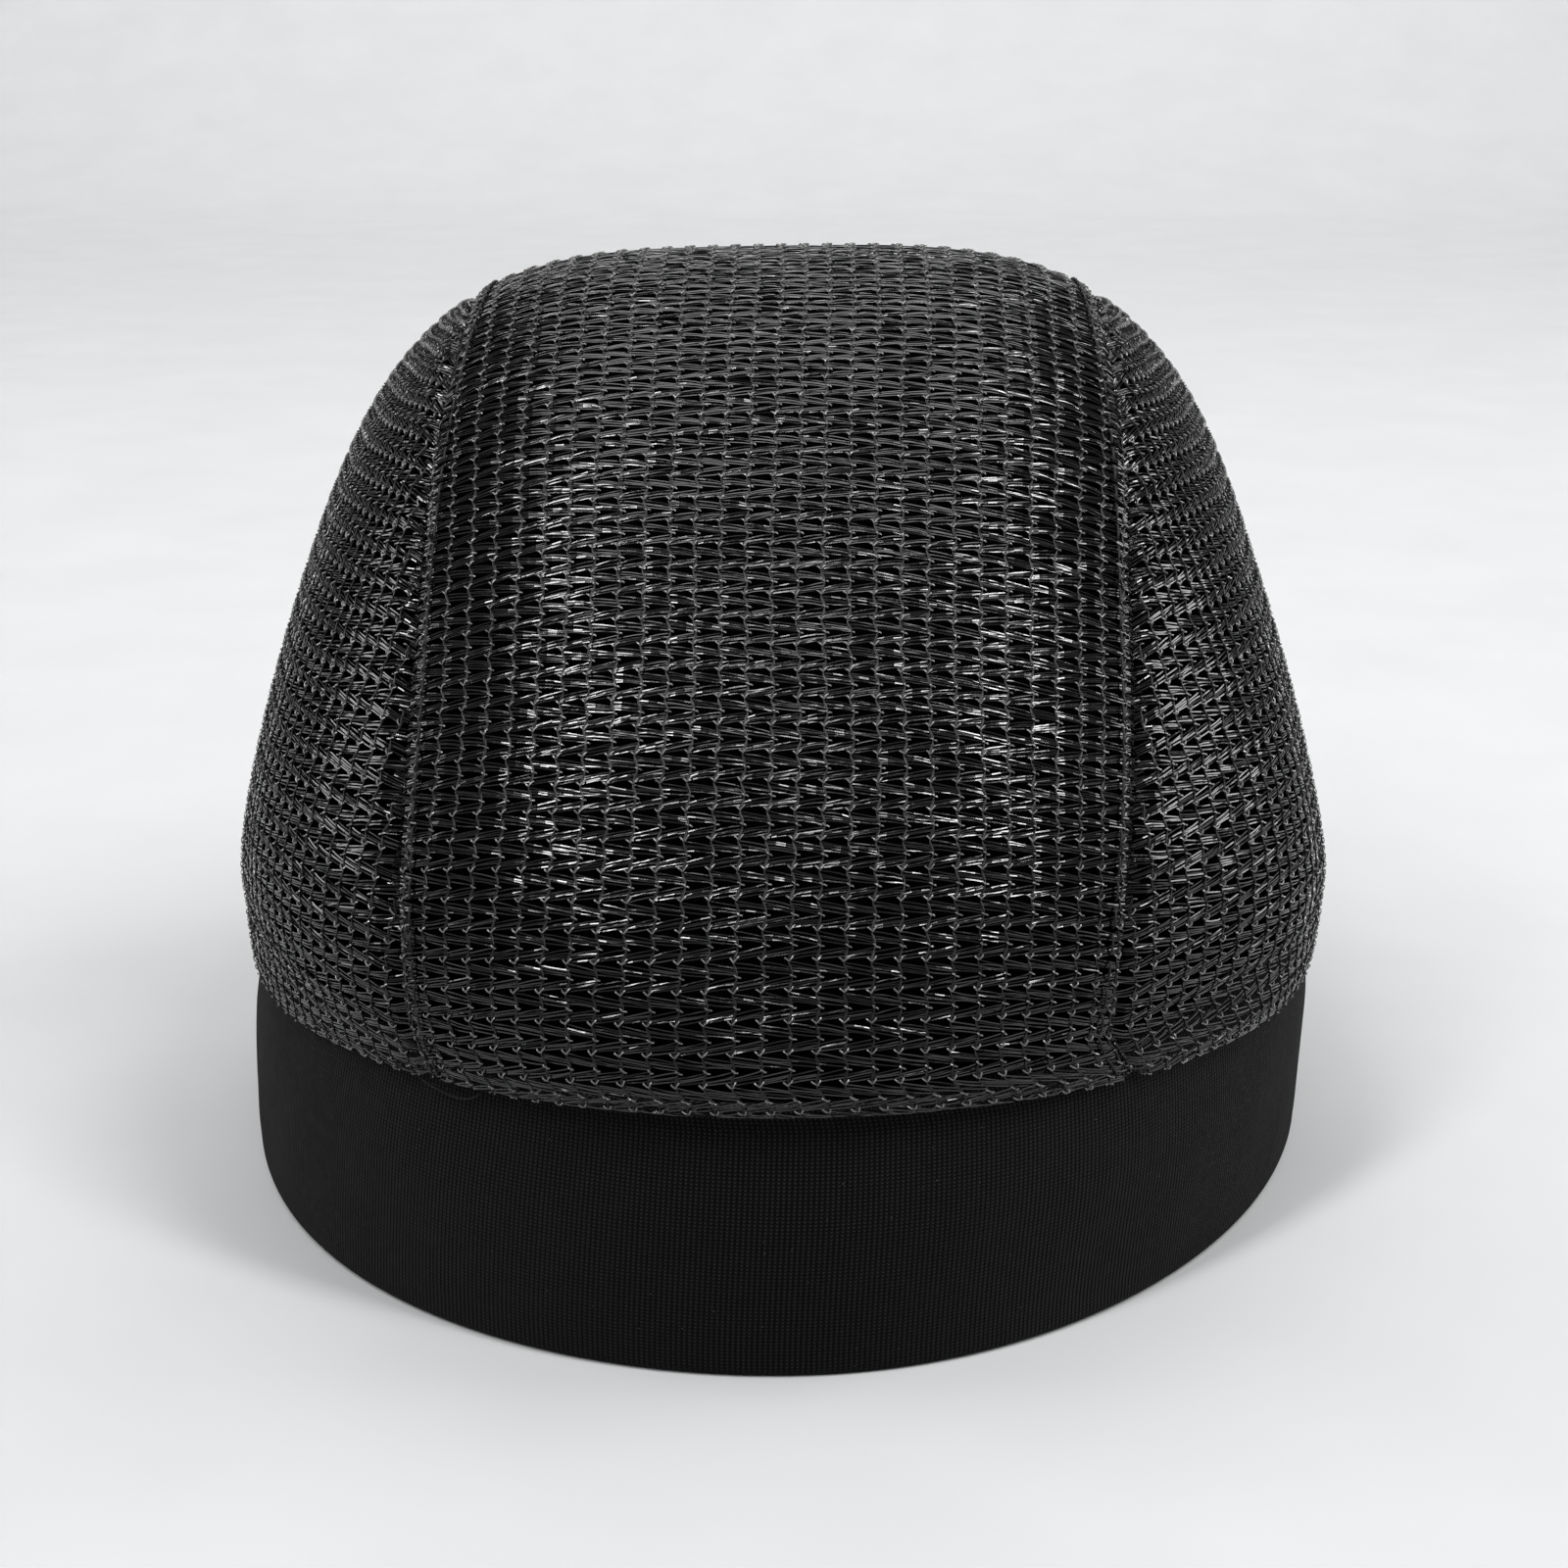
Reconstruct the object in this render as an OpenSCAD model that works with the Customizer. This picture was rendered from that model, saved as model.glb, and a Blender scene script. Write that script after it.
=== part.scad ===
// Lined three-panel mesh skull cap with a padded knit headband, standing on its rim.
// +Z is up and the front of the cap faces -Y. Left and right are the wearer's, so left is +X.
// The origin is on the ground, under the middle of the cap's box.

/* [Headband] */
// Outside width of the headband, side to side
band_width = 167; // [156:1:178]
// Widest plane to the outside of the band at the front
band_front = 102; // [96:1:108]
// Widest plane to the outside of the band at the back
band_back = 87; // [82:1:92]
// Height of the headband
band_height = 38.5; // [34:0.5:39]
// Thickness of the headband: fabric, foam and fabric
band_thick = 4.4; // [3.6:0.2:5.6]
// Thickness of the band fabric
band_fabric_thick = 0.9; // [0.6:0.1:1.1]
// How far the top of the band leans in under the crown
band_lean = 2.8; // [2:0.2:4]

/* [Crown] */
// Height of the top of the crown above the ground
crown_height = 132; // [124:1:145]
// Level at which the crown is widest
bulge_level = 40; // [40:0.5:44]
// How far the crown bulges past the band at that level
crown_bulge = 1.2; // [0.8:0.2:2.4]
// Height of the net's lower edge at the front
net_edge_front = 36.5; // [33:0.5:38]
// Height of the net's lower edge at the sides, where it sags over the band
net_edge_side = 28.5; // [26:0.5:34]
// Height of the net's lower edge at the back
net_edge_back = 34; // [30:0.5:38]
// Distance of the crown's highest point behind the widest plane
apex_back = 8; // [0:1:14]

/* [Fabrics] */
// Thickness of the outer net
net_thick = 1.0; // [0.8:0.1:1.2]
// Clear space between net and lining
lining_gap = 0.6; // [0.3:0.1:0.8]
// Thickness of the lining
lining_thick = 0.6; // [0.4:0.1:0.8]
// Open width of the valley between two net panels
seam_valley = 1.2; // [0.6:0.2:2]
// Width of the tape that covers each crown seam inside
tape_width = 9; // [7:1:12]
// Thickness of the tapes
tape_thick = 0.6; // [0.4:0.1:0.8]

/* [Sewing] */
// Diameter of the sewing thread
thread = 0.4; // [0.3:0.05:0.6]
// Length of one stitch, without the gap to the next
stitch = 2.6; // [2:0.1:4]
// Distance of the topstitching from the crown seam
topstitch_inset = 2.4; // [2:0.2:4]

/* [Label] */
// Width of the blank care label
label_width = 24; // [16:1:36]
// Free height of the blank care label
label_height = 15; // [10:1:20]

/* [Hidden] */

crown_half = band_width / 2 + crown_bulge;
crown_front = band_front + crown_bulge;
crown_back = band_back + crown_bulge;
widest_y = (crown_front - crown_back) / 2;
centre = [0, widest_y, bulge_level];
rise = crown_height - bulge_level;
// Handles of the side profile's two curves: at the front rim, either side of the top, at the back rim
brow_handle = [5, 30];
top_handle_front = 54;
top_handle_back = 45;
nape_handle = [2, 50];
// The sides lean in by this share of the half width at the top
side_taper = 0.245;
// Exponents of the cross-section: an ellipse at the rim, a squarer arch over the top
rim_power = 2;
top_power = 4.1;
// The net's lower edge stands this far outside the band
net_edge_out = 0.3;
lining_inset = net_thick + lining_gap;
tape_gap = 0.4;
tape_inset = lining_inset + lining_thick + tape_gap;
// Half width of the centre panel, as a share of the crown's, at the rim and on the way up
seam_share = 0.555;
seam_swell = 0.265;
seam_pinch = 0.1;
// Steps along a seam, across the centre panel, up a side panel, down the skirt and round the band
seam_steps = 36;
across_steps = 16;
side_rows = 11;
skirt_rows = 3;
band_around = 72;
// The side panels start this far up the side profile, where the seam leaves the widest level
side_start = 0.03;
// Searches on the crown halve their range this often, between two distances that enclose it
halvings = 20;
nearest = 40;
farthest = 150;
eps = 0.05;

// ---- shape of the crown ----

function bezier(p, t) = pow(1 - t, 3) * p[0] + 3 * pow(1 - t, 2) * t * p[1]
    + 3 * (1 - t) * t * t * p[2] + pow(t, 3) * p[3];

// Side profile of the crown, t from 0 at the front rim over the top at 1 to 2 at the back rim
front_rim = [-crown_front, 0];
back_rim = [crown_back, 0];
apex = [apex_back, rise];
front_curve = [front_rim, front_rim + brow_handle, apex - [top_handle_front, 0], apex];
back_curve = [apex, apex + [top_handle_back, 0], back_rim + nape_handle, back_rim];
function profile(t) = t < 1 ? bezier(front_curve, t) : bezier(back_curve, t - 1);
function profile_angle(t) = atan2(profile(t)[1], profile(t)[0]);

// Place on the profile that is seen at an angle from the centre
function profile_at(angle, lo = 0, hi = 2, n = halvings) = n == 0 ? (lo + hi) / 2
    : profile_angle((lo + hi) / 2) > angle ? profile_at(angle, (lo + hi) / 2, hi, n - 1)
    : profile_at(angle, lo, (lo + hi) / 2, n - 1);

function power_at(p) = rim_power + (top_power - rim_power) * p[1] / rise;

// How far out a ray leaves the crown: below 0 inside it and above 0 outside
function excess(r, d, p) =
    pow(abs(d[0]) * r / (crown_half * (1 - side_taper * r * d[2] / rise)), power_at(p))
    + pow(r * norm([d[1], d[2]]) / norm(p), power_at(p)) - 1;
function ray_length(d, p, lo = nearest, hi = farthest, n = halvings) = n == 0 ? (lo + hi) / 2
    : excess((lo + hi) / 2, d, p) < 0 ? ray_length(d, p, (lo + hi) / 2, hi, n - 1)
    : ray_length(d, p, lo, (lo + hi) / 2, n - 1);
function crown_ray(d) = ray_length(d, profile(profile_at(atan2(d[2], d[1]))));

// Point on the crown seen from its centre, moved in along the ray
function crown_point(az, el, inset) =
    let (d = [cos(el) * cos(az), cos(el) * sin(az), sin(el)])
    centre + (crown_ray(d) - inset) * d;

// Plan outline: two half ellipses that meet at the widest plane
function plan(az, half, front, back) =
    let (reach = sin(az) < 0 ? front : back,
         r = 1 / norm([cos(az) / half, sin(az) / reach]))
    [r * cos(az), widest_y + r * sin(az)];

// Level of the net's lower edge round the cap
function net_edge(az) = net_edge_side
    + ((sin(az) < 0 ? net_edge_front : net_edge_back) - net_edge_side) * pow(sin(az), 2);

// Point on the net's skirt below a point of the widest level: share 1 is at the net's lower edge
function skirt_point(az, share, inset) =
    let (out = crown_bulge + (net_edge_out - crown_bulge) * share * share - inset,
         q = plan(az, band_width / 2 + out, band_front + out, band_back + out))
    [q[0], q[1], bulge_level + (net_edge(az) - bulge_level) * share];

// ---- crown seams ----

function seam_height(t) = profile(t)[1] / rise;
function seam_x_share(t) = seam_share + seam_swell * seam_height(t)
    - seam_pinch * pow(seam_height(t), 3);

// Point on the crown at a share of its half width
function crown_at(t, xs, inset) =
    let (k = power_at(profile(t)),
         r = pow(1 - pow(abs(xs), k), 1 / k),
         p = centre + [crown_half * xs * (1 - side_taper * r * seam_height(t)),
                       r * profile(t)[0], r * profile(t)[1]],
         d = (p - centre) / norm(p - centre))
    p - inset * d;

// Point beside a seam: shift moves it across, away from the middle of the cap
function beside_seam(t, shift, inset) = crown_at(t, seam_x_share(t) + shift / crown_half, inset);

function azimuth(p) = atan2(p[1] - widest_y, p[0]);
function elevation(p) = asin((p[2] - bulge_level) / norm(p - centre));

// ---- panels ----

// Rows of points on the centre panel, from the front over the top to the back.
// The margin makes it wider, and the skirt is the number of rows below the widest level
function centre_grid(inset, margin, skirt) =
    let (sides = [for (j = [0:across_steps]) 2 * j / across_steps - 1],
         reach = function (t) seam_x_share(t) + margin / crown_half,
         below = function (t, share) [for (s = sides)
             skirt_point(azimuth(crown_at(t, s * reach(t), 0)), share, inset)])
    concat([for (i = [skirt:-1:1]) below(0, i / skirt)],
           [for (i = [0:seam_steps])
               let (t = 2 * i / seam_steps) [for (s = sides) crown_at(t, s * reach(t), inset)]],
           [for (i = [1:1:skirt]) below(2, i / skirt)]);

// Rows of points on a side panel, from its lower edge up to the seam
function side_grid(inset, margin, skirt) =
    let (seam = [for (i = [0:seam_steps])
             beside_seam(side_start + 2 * (1 - side_start) * i / seam_steps, margin, 0)])
    concat([for (i = [skirt:-1:1]) [for (p = seam) skirt_point(azimuth(p), i / skirt, inset)]],
           [for (i = [0:side_rows])
               [for (p = seam) crown_point(azimuth(p), elevation(p) * i / side_rows, inset)]]);

// Solid between two equal grids of points, the first one outside
module panel(outer, inner) {
    m = len(outer);
    n = len(outer[0]);
    function at(layer, place) = (layer * m + place[0]) * n + place[1];
    skins = [for (i = [0:m - 2]) for (j = [0:n - 2])
        let (a = [i, j], b = [i + 1, j], c = [i + 1, j + 1], d = [i, j + 1])
        each [[at(0, a), at(0, b), at(0, c)], [at(0, a), at(0, c), at(0, d)],
              [at(1, a), at(1, c), at(1, b)], [at(1, a), at(1, d), at(1, c)]]];
    border = concat([for (i = [0:m - 1]) [i, 0]], [for (j = [1:n - 1]) [m - 1, j]],
                    [for (i = [m - 2:-1:0]) [i, n - 1]], [for (j = [n - 2:-1:1]) [0, j]]);
    walls = [for (i = [0:len(border) - 1])
        let (a = border[i], b = border[(i + 1) % len(border)])
        each [[at(0, b), at(0, a), at(1, a)], [at(0, b), at(1, a), at(1, b)]]];
    polyhedron(concat([for (row = outer) each row], [for (row = inner) each row]),
               concat(skins, walls), convexity = 6);
}

module centre_panel(inset, thick, margin, skirt) {
    panel(centre_grid(inset, margin, skirt), centre_grid(inset + thick, margin, skirt));
}

// Left side panel; the right one is its mirror image
module side_panel(inset, thick, margin, skirt) {
    panel(side_grid(inset, margin, skirt), side_grid(inset + thick, margin, skirt));
}

module centre_net() color([0.09, 0.09, 0.095])
    centre_panel(0, net_thick, -seam_valley / 2, skirt_rows);

module left_net() color([0.10, 0.10, 0.105])
    side_panel(0, net_thick, seam_valley / 2, skirt_rows);

module right_net() color([0.10, 0.10, 0.105]) mirror([1, 0, 0])
    side_panel(0, net_thick, seam_valley / 2, skirt_rows);

// The linings end at the widest level, above the band, and the nets go on down outside it
module centre_lining() color([0.03, 0.03, 0.03])
    centre_panel(lining_inset, lining_thick, -eps, 0);

module left_lining() color([0.035, 0.035, 0.035])
    side_panel(lining_inset, lining_thick, eps, 0);

module right_lining() color([0.035, 0.035, 0.035]) mirror([1, 0, 0])
    side_panel(lining_inset, lining_thick, eps, 0);

// ---- sweeps ----

// Solid from equal loops of points: open ended with flat ends, or closed into a ring
module sweep(loops, closed) {
    n = len(loops);
    m = len(loops[0]);
    last = closed ? n - 1 : n - 2;
    sides = [for (i = [0:last]) for (j = [0:m - 1]) for (half = [0, 1])
        let (a = i * m + j, b = i * m + (j + 1) % m,
             c = ((i + 1) % n) * m + j, d = ((i + 1) % n) * m + (j + 1) % m)
        half == 0 ? [a, b, d] : [a, d, c]];
    ends = closed ? [] : [[for (j = [m - 1:-1:0]) j], [for (j = [0:m - 1]) (n - 1) * m + j]];
    polyhedron([for (loop = loops) for (p = loop) p], concat(sides, ends), convexity = 6);
}

// Tape under one crown seam, from just above the rim binding over the top to the back.
// It starts this far along the side profile, and ends as far before the back rim
tape_start = 0.09;
module seam_tape() {
    inner = tape_inset + tape_thick;
    loops = [for (i = [0:seam_steps])
        let (t = tape_start + (2 - 2 * tape_start) * i / seam_steps)
        [beside_seam(t, -tape_width / 2, tape_inset), beside_seam(t, tape_width / 2, tape_inset),
         beside_seam(t, tape_width / 2, inner), beside_seam(t, -tape_width / 2, inner)]];
    sweep(loops, false);
}

module left_seam_tape() color([0.05, 0.05, 0.05]) seam_tape();

module right_seam_tape() color([0.05, 0.05, 0.05]) mirror([1, 0, 0]) seam_tape();

// ---- headband ----

// The band stands straight up to this level, then leans in
lean_start = 20;
lean_power = 1.5;
function lean(z) = z < lean_start ? 0
    : band_lean * pow((z - lean_start) / (band_height - lean_start), lean_power);

// Half section of the folded band fabric: outside wall, rounded fold and inside wall
fold_radius = 1.5;
fold_steps = 3;
lean_steps = 4;
// Level above which the space inside the fold is straight
fold_inside = fold_radius + 1;
function fold_arc(inward, from, to, r) = [for (i = [0:fold_steps])
    let (a = from + (to - from) * i / fold_steps)
    [inward + r * cos(a), fold_radius + r * sin(a)]];
function wall(offset, top = band_height) = [for (i = [0:lean_steps])
    let (z = lean_start + (top - lean_start) * i / lean_steps) [offset - lean(z), z]];
function reversed(list) = [for (i = [len(list) - 1:-1:0]) list[i]];

fabric_section = concat(
    reversed(wall(0)),
    fold_arc(-fold_radius, 0, -90, fold_radius),
    fold_arc(-band_thick + fold_radius, -90, -180, fold_radius),
    wall(-band_thick),
    reversed(wall(-band_thick + band_fabric_thick)),
    [[-band_thick + band_fabric_thick, fold_inside], [-band_thick + fold_radius, band_fabric_thick],
     [-fold_radius, band_fabric_thick], [-band_fabric_thick, fold_inside]],
    wall(-band_fabric_thick));

// Loops of a section carried round the band's plan, offset outward by its first coordinate
function round_band(section) = [for (j = [0:band_around - 1])
    let (az = 360 * j / band_around)
    [for (s = section)
        let (q = plan(az, band_width / 2 + s[0], band_front + s[0], band_back + s[0]))
        [q[0], q[1], s[1]]]];

module headband_fabric() color([0.035, 0.035, 0.038]) sweep(round_band(fabric_section), true);

// The foam follows the fabric's walls, and stops short of the fold and of the band's top
module headband_foam() {
    gap = 0.1;
    fold_clear = 0.6;
    top_clear = 1.5;
    outer = -band_fabric_thick - gap;
    inner = -band_thick + band_fabric_thick + gap;
    low = fold_inside + fold_clear;
    high = band_height - top_clear;
    section = concat(reversed(wall(outer, high)), [[outer, low], [inner, low]], wall(inner, high));
    color([0.2, 0.2, 0.21]) sweep(round_band(section), true);
}

// Knitted tape inside, over the raw edges where crown and band are joined
module rim_binding() {
    gap = 0.15;
    face = -band_thick - gap;
    reach_down = 5;
    reach_up = 3;
    low = band_height - reach_down;
    high = band_height + reach_up;
    // The binding's top follows the lining outward, and is widest at the join
    flare = 0.4;
    swell = 0.1;
    outer = [[face - lean(low), low], [face - band_lean, band_height],
             [face - band_lean + flare, high]];
    inner = [[face - band_lean + flare - tape_thick - swell, high],
             [face - band_lean - tape_thick - swell, band_height],
             [face - lean(low) - tape_thick, low]];
    section = concat(outer, inner);
    color([0.05, 0.05, 0.05]) sweep(round_band(section), true);
}

// ---- threads ----

// Distance from one stitch to the next, and how high a thread's middle lies above the cloth
stitch_fill = 0.72;
stitch_pitch = stitch / stitch_fill;
thread_clear = 0.12;
thread_lift = thread / 2 + thread_clear;
function run_length(points, i = 1) = i >= len(points) ? 0
    : norm(points[i] - points[i - 1]) + run_length(points, i + 1);

// One stitch: a short round bar from one point to another
module stitch_between(a, b) {
    run = b - a;
    translate(a) rotate([0, acos(run[2] / norm(run)), atan2(run[1], run[0])])
        cylinder(h = norm(run), d = thread, $fn = 16);
}

// A row of stitches lies on the centre net, beside its seam, over the same share of the side profile
// at the front as at the back
module topstitch() {
    first = 0.03;
    last = 2 - first;
    function place(t) = beside_seam(t, -topstitch_inset, -thread_lift);
    count = round(run_length([for (i = [0:seam_steps]) place(first + (last - first) * i / seam_steps)])
                  / stitch_pitch);
    step = (last - first) / count;
    for (i = [0:count - 1])
        stitch_between(place(first + step * i), place(first + step * (i + stitch_fill)));
}

module left_topstitch() color([0.06, 0.06, 0.06]) topstitch();

module right_topstitch() color([0.06, 0.06, 0.06]) mirror([1, 0, 0]) topstitch();

// Stitches that join the crown to the band run round the band's top, under the net's edge
module band_join_thread() {
    below_top = 1.2;
    level = band_height - below_top;
    out = thread_lift - lean(level);
    function place(az) = concat(plan(az, band_width / 2 + out, band_front + out, band_back + out), level);
    count = round(run_length([for (i = [0:band_around]) place(360 * i / band_around)]) / stitch_pitch);
    step = 360 / count;
    color([0.06, 0.06, 0.06]) for (i = [0:count - 1])
        stitch_between(place(step * i), place(step * (i + stitch_fill)));
}

// Ladder of stitches up the back of the band, where the ends of the strip meet
module band_back_thread() {
    reach = 1.1;
    slant = 1.2;
    first_level = 5;
    last_level = lean_start - 1;
    count = round((last_level - first_level) / stitch) + 1;
    back_y = widest_y + band_back + thread_lift;
    color([0.06, 0.06, 0.06]) for (i = [0:count - 1]) {
        z = first_level + (last_level - first_level) * i / (count - 1);
        stitch_between([-reach, back_y, z], [reach, back_y, z + slant]);
    }
}

// ---- label ----

label_thick = 0.4;
// The label's top is this far below the top of the band, and it hangs this far in from the band
label_drop = 6.5;
label_clear = 2.4;
label_top = band_height - label_drop;
label_y = widest_y + band_back - band_thick - label_clear - lean(label_top);

// Blank folded label that hangs inside at the back, below the rim binding
module care_label() {
    color([0.82, 0.82, 0.8]) translate([-label_width / 2, label_y - label_thick, label_top - label_height])
        cube([label_width, label_thick, label_height]);
}

module label_thread() {
    margin = 1;
    level = label_top - margin;
    y = label_y - label_thick - thread_lift;
    count = round((label_width - 2 * margin) / stitch_pitch);
    step = (label_width - 2 * margin) / count;
    color([0.06, 0.06, 0.06]) for (i = [0:count - 1]) {
        x = -label_width / 2 + margin + step * i;
        stitch_between([x, y, level], [x + step * stitch_fill, y, level]);
    }
}

centre_net();
left_net();
right_net();
centre_lining();
left_lining();
right_lining();
left_seam_tape();
right_seam_tape();
left_topstitch();
right_topstitch();
headband_fabric();
headband_foam();
rim_binding();
band_join_thread();
band_back_thread();
care_label();
label_thread();
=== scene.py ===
"""Lined mesh skull cap: three panels of knitted net over a black lining, on a padded knit headband.

Lengths are in millimetres until a mesh is made. The cap's front faces -Y and +X is the wearer's left.
"""

import math

import bpy
import numpy as np
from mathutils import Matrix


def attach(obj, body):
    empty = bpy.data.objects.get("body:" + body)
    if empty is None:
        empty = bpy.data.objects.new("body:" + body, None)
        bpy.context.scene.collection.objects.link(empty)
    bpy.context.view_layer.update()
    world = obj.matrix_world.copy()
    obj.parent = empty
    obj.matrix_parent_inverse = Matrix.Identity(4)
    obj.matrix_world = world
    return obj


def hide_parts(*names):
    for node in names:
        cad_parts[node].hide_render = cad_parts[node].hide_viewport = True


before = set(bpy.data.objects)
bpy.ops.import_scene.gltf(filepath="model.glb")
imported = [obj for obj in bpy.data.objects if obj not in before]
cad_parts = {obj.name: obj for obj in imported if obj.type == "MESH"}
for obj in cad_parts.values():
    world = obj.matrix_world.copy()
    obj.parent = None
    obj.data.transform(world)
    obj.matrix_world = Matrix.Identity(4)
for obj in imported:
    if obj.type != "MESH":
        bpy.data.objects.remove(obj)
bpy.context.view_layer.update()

MM = 0.001

# ---- sizes shared with the CAD model ----
# The band and crown are half ellipses in plan, joined at the widest plane
BAND_HALF, BAND_FRONT, BAND_BACK = 83.5, 102.0, 87.0
BAND_HEIGHT, BAND_THICK, BAND_LEAN, LEAN_START = 38.5, 4.4, 2.8, 20.0
FOLD_RADIUS = 1.5
CROWN_HEIGHT, LEVEL, BULGE = 132.0, 40.0, 1.2
EDGE_FRONT, EDGE_SIDE, EDGE_BACK = 36.5, 28.5, 34.0
EDGE_OUT = 0.3
RISE = CROWN_HEIGHT - LEVEL
HALF, FRONT, BACK = BAND_HALF + BULGE, BAND_FRONT + BULGE, BAND_BACK + BULGE
WIDEST_Y = (FRONT - BACK) / 2
CENTRE = np.array([0, WIDEST_Y, LEVEL])
APEX_BACK = 8.0
FRONT_CURVE = np.array([[-FRONT, 0], [-FRONT + 5, 30], [APEX_BACK - 54, RISE], [APEX_BACK, RISE]])
BACK_CURVE = np.array([[APEX_BACK, RISE], [APEX_BACK + 45, RISE], [BACK + 2, 50], [BACK, 0]])
TAPER, RIM_POWER, TOP_POWER = 0.245, 2.0, 4.1
SEAM_SHARE, SEAM_SWELL, SEAM_PINCH = 0.555, 0.265, 0.1
LINING_INSET, LINING_THICK = 1.6, 0.6
TAPE_INSET, TAPE_WIDTH, TAPE_THICK = 2.9, 9.0, 0.6
TOPSTITCH_INSET = 3.2
FABRIC_THICK = 0.9

# ---- the knit ----
WALE, COURSE = 3.57, 1.93
STRAND, CHAIN, KNOT, THREAD = 0.235, 0.17, 0.25, 0.34
# How much the strands are turned on their own axis, in radians: each as a whole, and along its length
ROLL, TWIST = 0.22, 0.07
# The net's lower edge is turned in by this much
HEM, HEM_RADIUS = 3.2, 0.45
# A panel dips into a valley beside each seam: its width, depth and power
CENTRE_VALLEY, SIDE_VALLEY = (2.4, 2.0, 4), (3.6, 2.0, 3)
# Strands may reach this far over the seam
CENTRE_SPARE, SIDE_SPARE = 0.9, 0.4
# Columns of a chart's table, after the point and its normal
RATIO, DISTANCE, BELOW = 6, 7, 8
GRID_STEP = 0.5


# ---- shape of the crown ----

def bezier(points, t):
    t = t[..., None]
    return ((1 - t) ** 3 * points[0] + 3 * (1 - t) ** 2 * t * points[1]
            + 3 * (1 - t) * t * t * points[2] + t ** 3 * points[3])


def profile(t):
    """Side profile, t from 0 at the front rim over the top at 1 to 2 at the back rim."""
    t = np.asarray(t, float)
    both = np.where((t < 1)[..., None], bezier(FRONT_CURVE, np.clip(t, 0, 1)),
                    bezier(BACK_CURVE, np.clip(t - 1, 0, 1)))
    return both[..., 0], both[..., 1]


def power_at(z):
    """Power of the crown's rounded cross-section at a height above the widest level."""
    return RIM_POWER + (TOP_POWER - RIM_POWER) * z / RISE


def crown_at(t, share):
    """Point on the crown at a share of its half width."""
    y, z = profile(t)
    k = power_at(z)
    r = (1 - np.abs(share) ** k) ** (1 / k)
    return np.stack([HALF * share * (1 - TAPER * r * z / RISE), WIDEST_Y + r * y, LEVEL + r * z], -1)


def seam_share(t):
    """Where the crown seam lies along the side profile, as a share of the half width."""
    h = profile(t)[1] / RISE
    return SEAM_SHARE + SEAM_SWELL * h - SEAM_PINCH * h ** 3


def plan(az, out):
    """The x and y at an azimuth, at a distance outside the band's outline."""
    reach = np.where(np.sin(az) < 0, BAND_FRONT, BAND_BACK) + out
    r = 1 / np.hypot(np.cos(az) / (BAND_HALF + out), np.sin(az) / reach)
    return r * np.cos(az), WIDEST_Y + r * np.sin(az)


def net_edge(az):
    """Height of the net's lower edge, which is lowest at the sides."""
    ends = np.where(np.sin(az) < 0, EDGE_FRONT, EDGE_BACK)
    return EDGE_SIDE + (ends - EDGE_SIDE) * np.sin(az) ** 2


def skirt_at(az, depth):
    """Point on the net below the widest level."""
    past_edge = 1.2
    share = np.minimum(depth / (LEVEL - net_edge(az)), past_edge)
    x, y = plan(az, BULGE + (EDGE_OUT - BULGE) * share ** 2)
    return np.stack([x, y, LEVEL - depth + 0 * x], -1)


def lean(z):
    """How far the band leans in at a height."""
    return BAND_LEAN * (np.clip(z - LEAN_START, 0, None) / (BAND_HEIGHT - LEAN_START)) ** 1.5


PROFILE_T = np.linspace(0, 2, 2001)
PROFILE_Y, PROFILE_Z = profile(PROFILE_T)
PROFILE_ANGLE = np.arctan2(PROFILE_Z, PROFILE_Y)


def crown_ray(d):
    """Distance from the crown's centre to its surface, for directions above the widest level."""
    angle = np.arctan2(d[..., 2], d[..., 1])
    y = np.interp(-angle, -PROFILE_ANGLE, PROFILE_Y)
    z = np.interp(-angle, -PROFILE_ANGLE, PROFILE_Z)
    k = power_at(z)
    along = np.hypot(d[..., 1], d[..., 2]) / np.hypot(y, z)
    nearest, farthest, halvings = 40.0, 150.0, 26
    near, far = np.full(angle.shape, nearest), np.full(angle.shape, farthest)
    for _ in range(halvings):
        r = (near + far) / 2
        inside = ((np.abs(d[..., 0]) * r / (HALF * (1 - TAPER * r * d[..., 2] / RISE))) ** k
                  + (r * along) ** k) < 1
        near, far = np.where(inside, r, near), np.where(inside, far, r)
    return (near + far) / 2


def seam_ratio(p):
    """A point's distance from the middle of the cap, as a share of the seam's distance."""
    q = p - CENTRE
    up = np.clip(q[..., 2], 0, None)
    angle = np.arctan2(up, q[..., 1])
    t = np.interp(-angle, -PROFILE_ANGLE, PROFILE_T)
    y, z = profile(t)
    r = np.hypot(q[..., 1], up) / np.hypot(y, z)
    share = np.abs(q[..., 0]) / (HALF * (1 - TAPER * r * z / RISE))
    return share / seam_share(t)


def seam_line(count=500):
    """The left seam, from the net's lower edge at the front to its lower edge at the back."""
    depth = np.linspace(8, 0.5, 12)
    t = np.linspace(0, 2, count)
    line = crown_at(t, seam_share(t))
    ends = []
    for foot in (line[0], line[-1]):
        az = np.arctan2(foot[1] - WIDEST_Y, foot[0])
        ends.append(skirt_at(np.full(len(depth), az), depth))
    return np.concatenate([ends[0], line, ends[1][::-1]])


SEAM = seam_line()


def seam_distance(p):
    """Distance from each point to the nearer seam."""
    q = p.reshape(-1, 3).copy()
    q[:, 0] = np.abs(q[:, 0])
    best = np.full(len(q), np.inf)
    for a in SEAM[::2]:
        np.minimum(best, ((q - a) ** 2).sum(1), out=best)
    return np.sqrt(best).reshape(p.shape[:-1])


# ---- panels as charts: u runs across the wales and v along them ----

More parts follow.
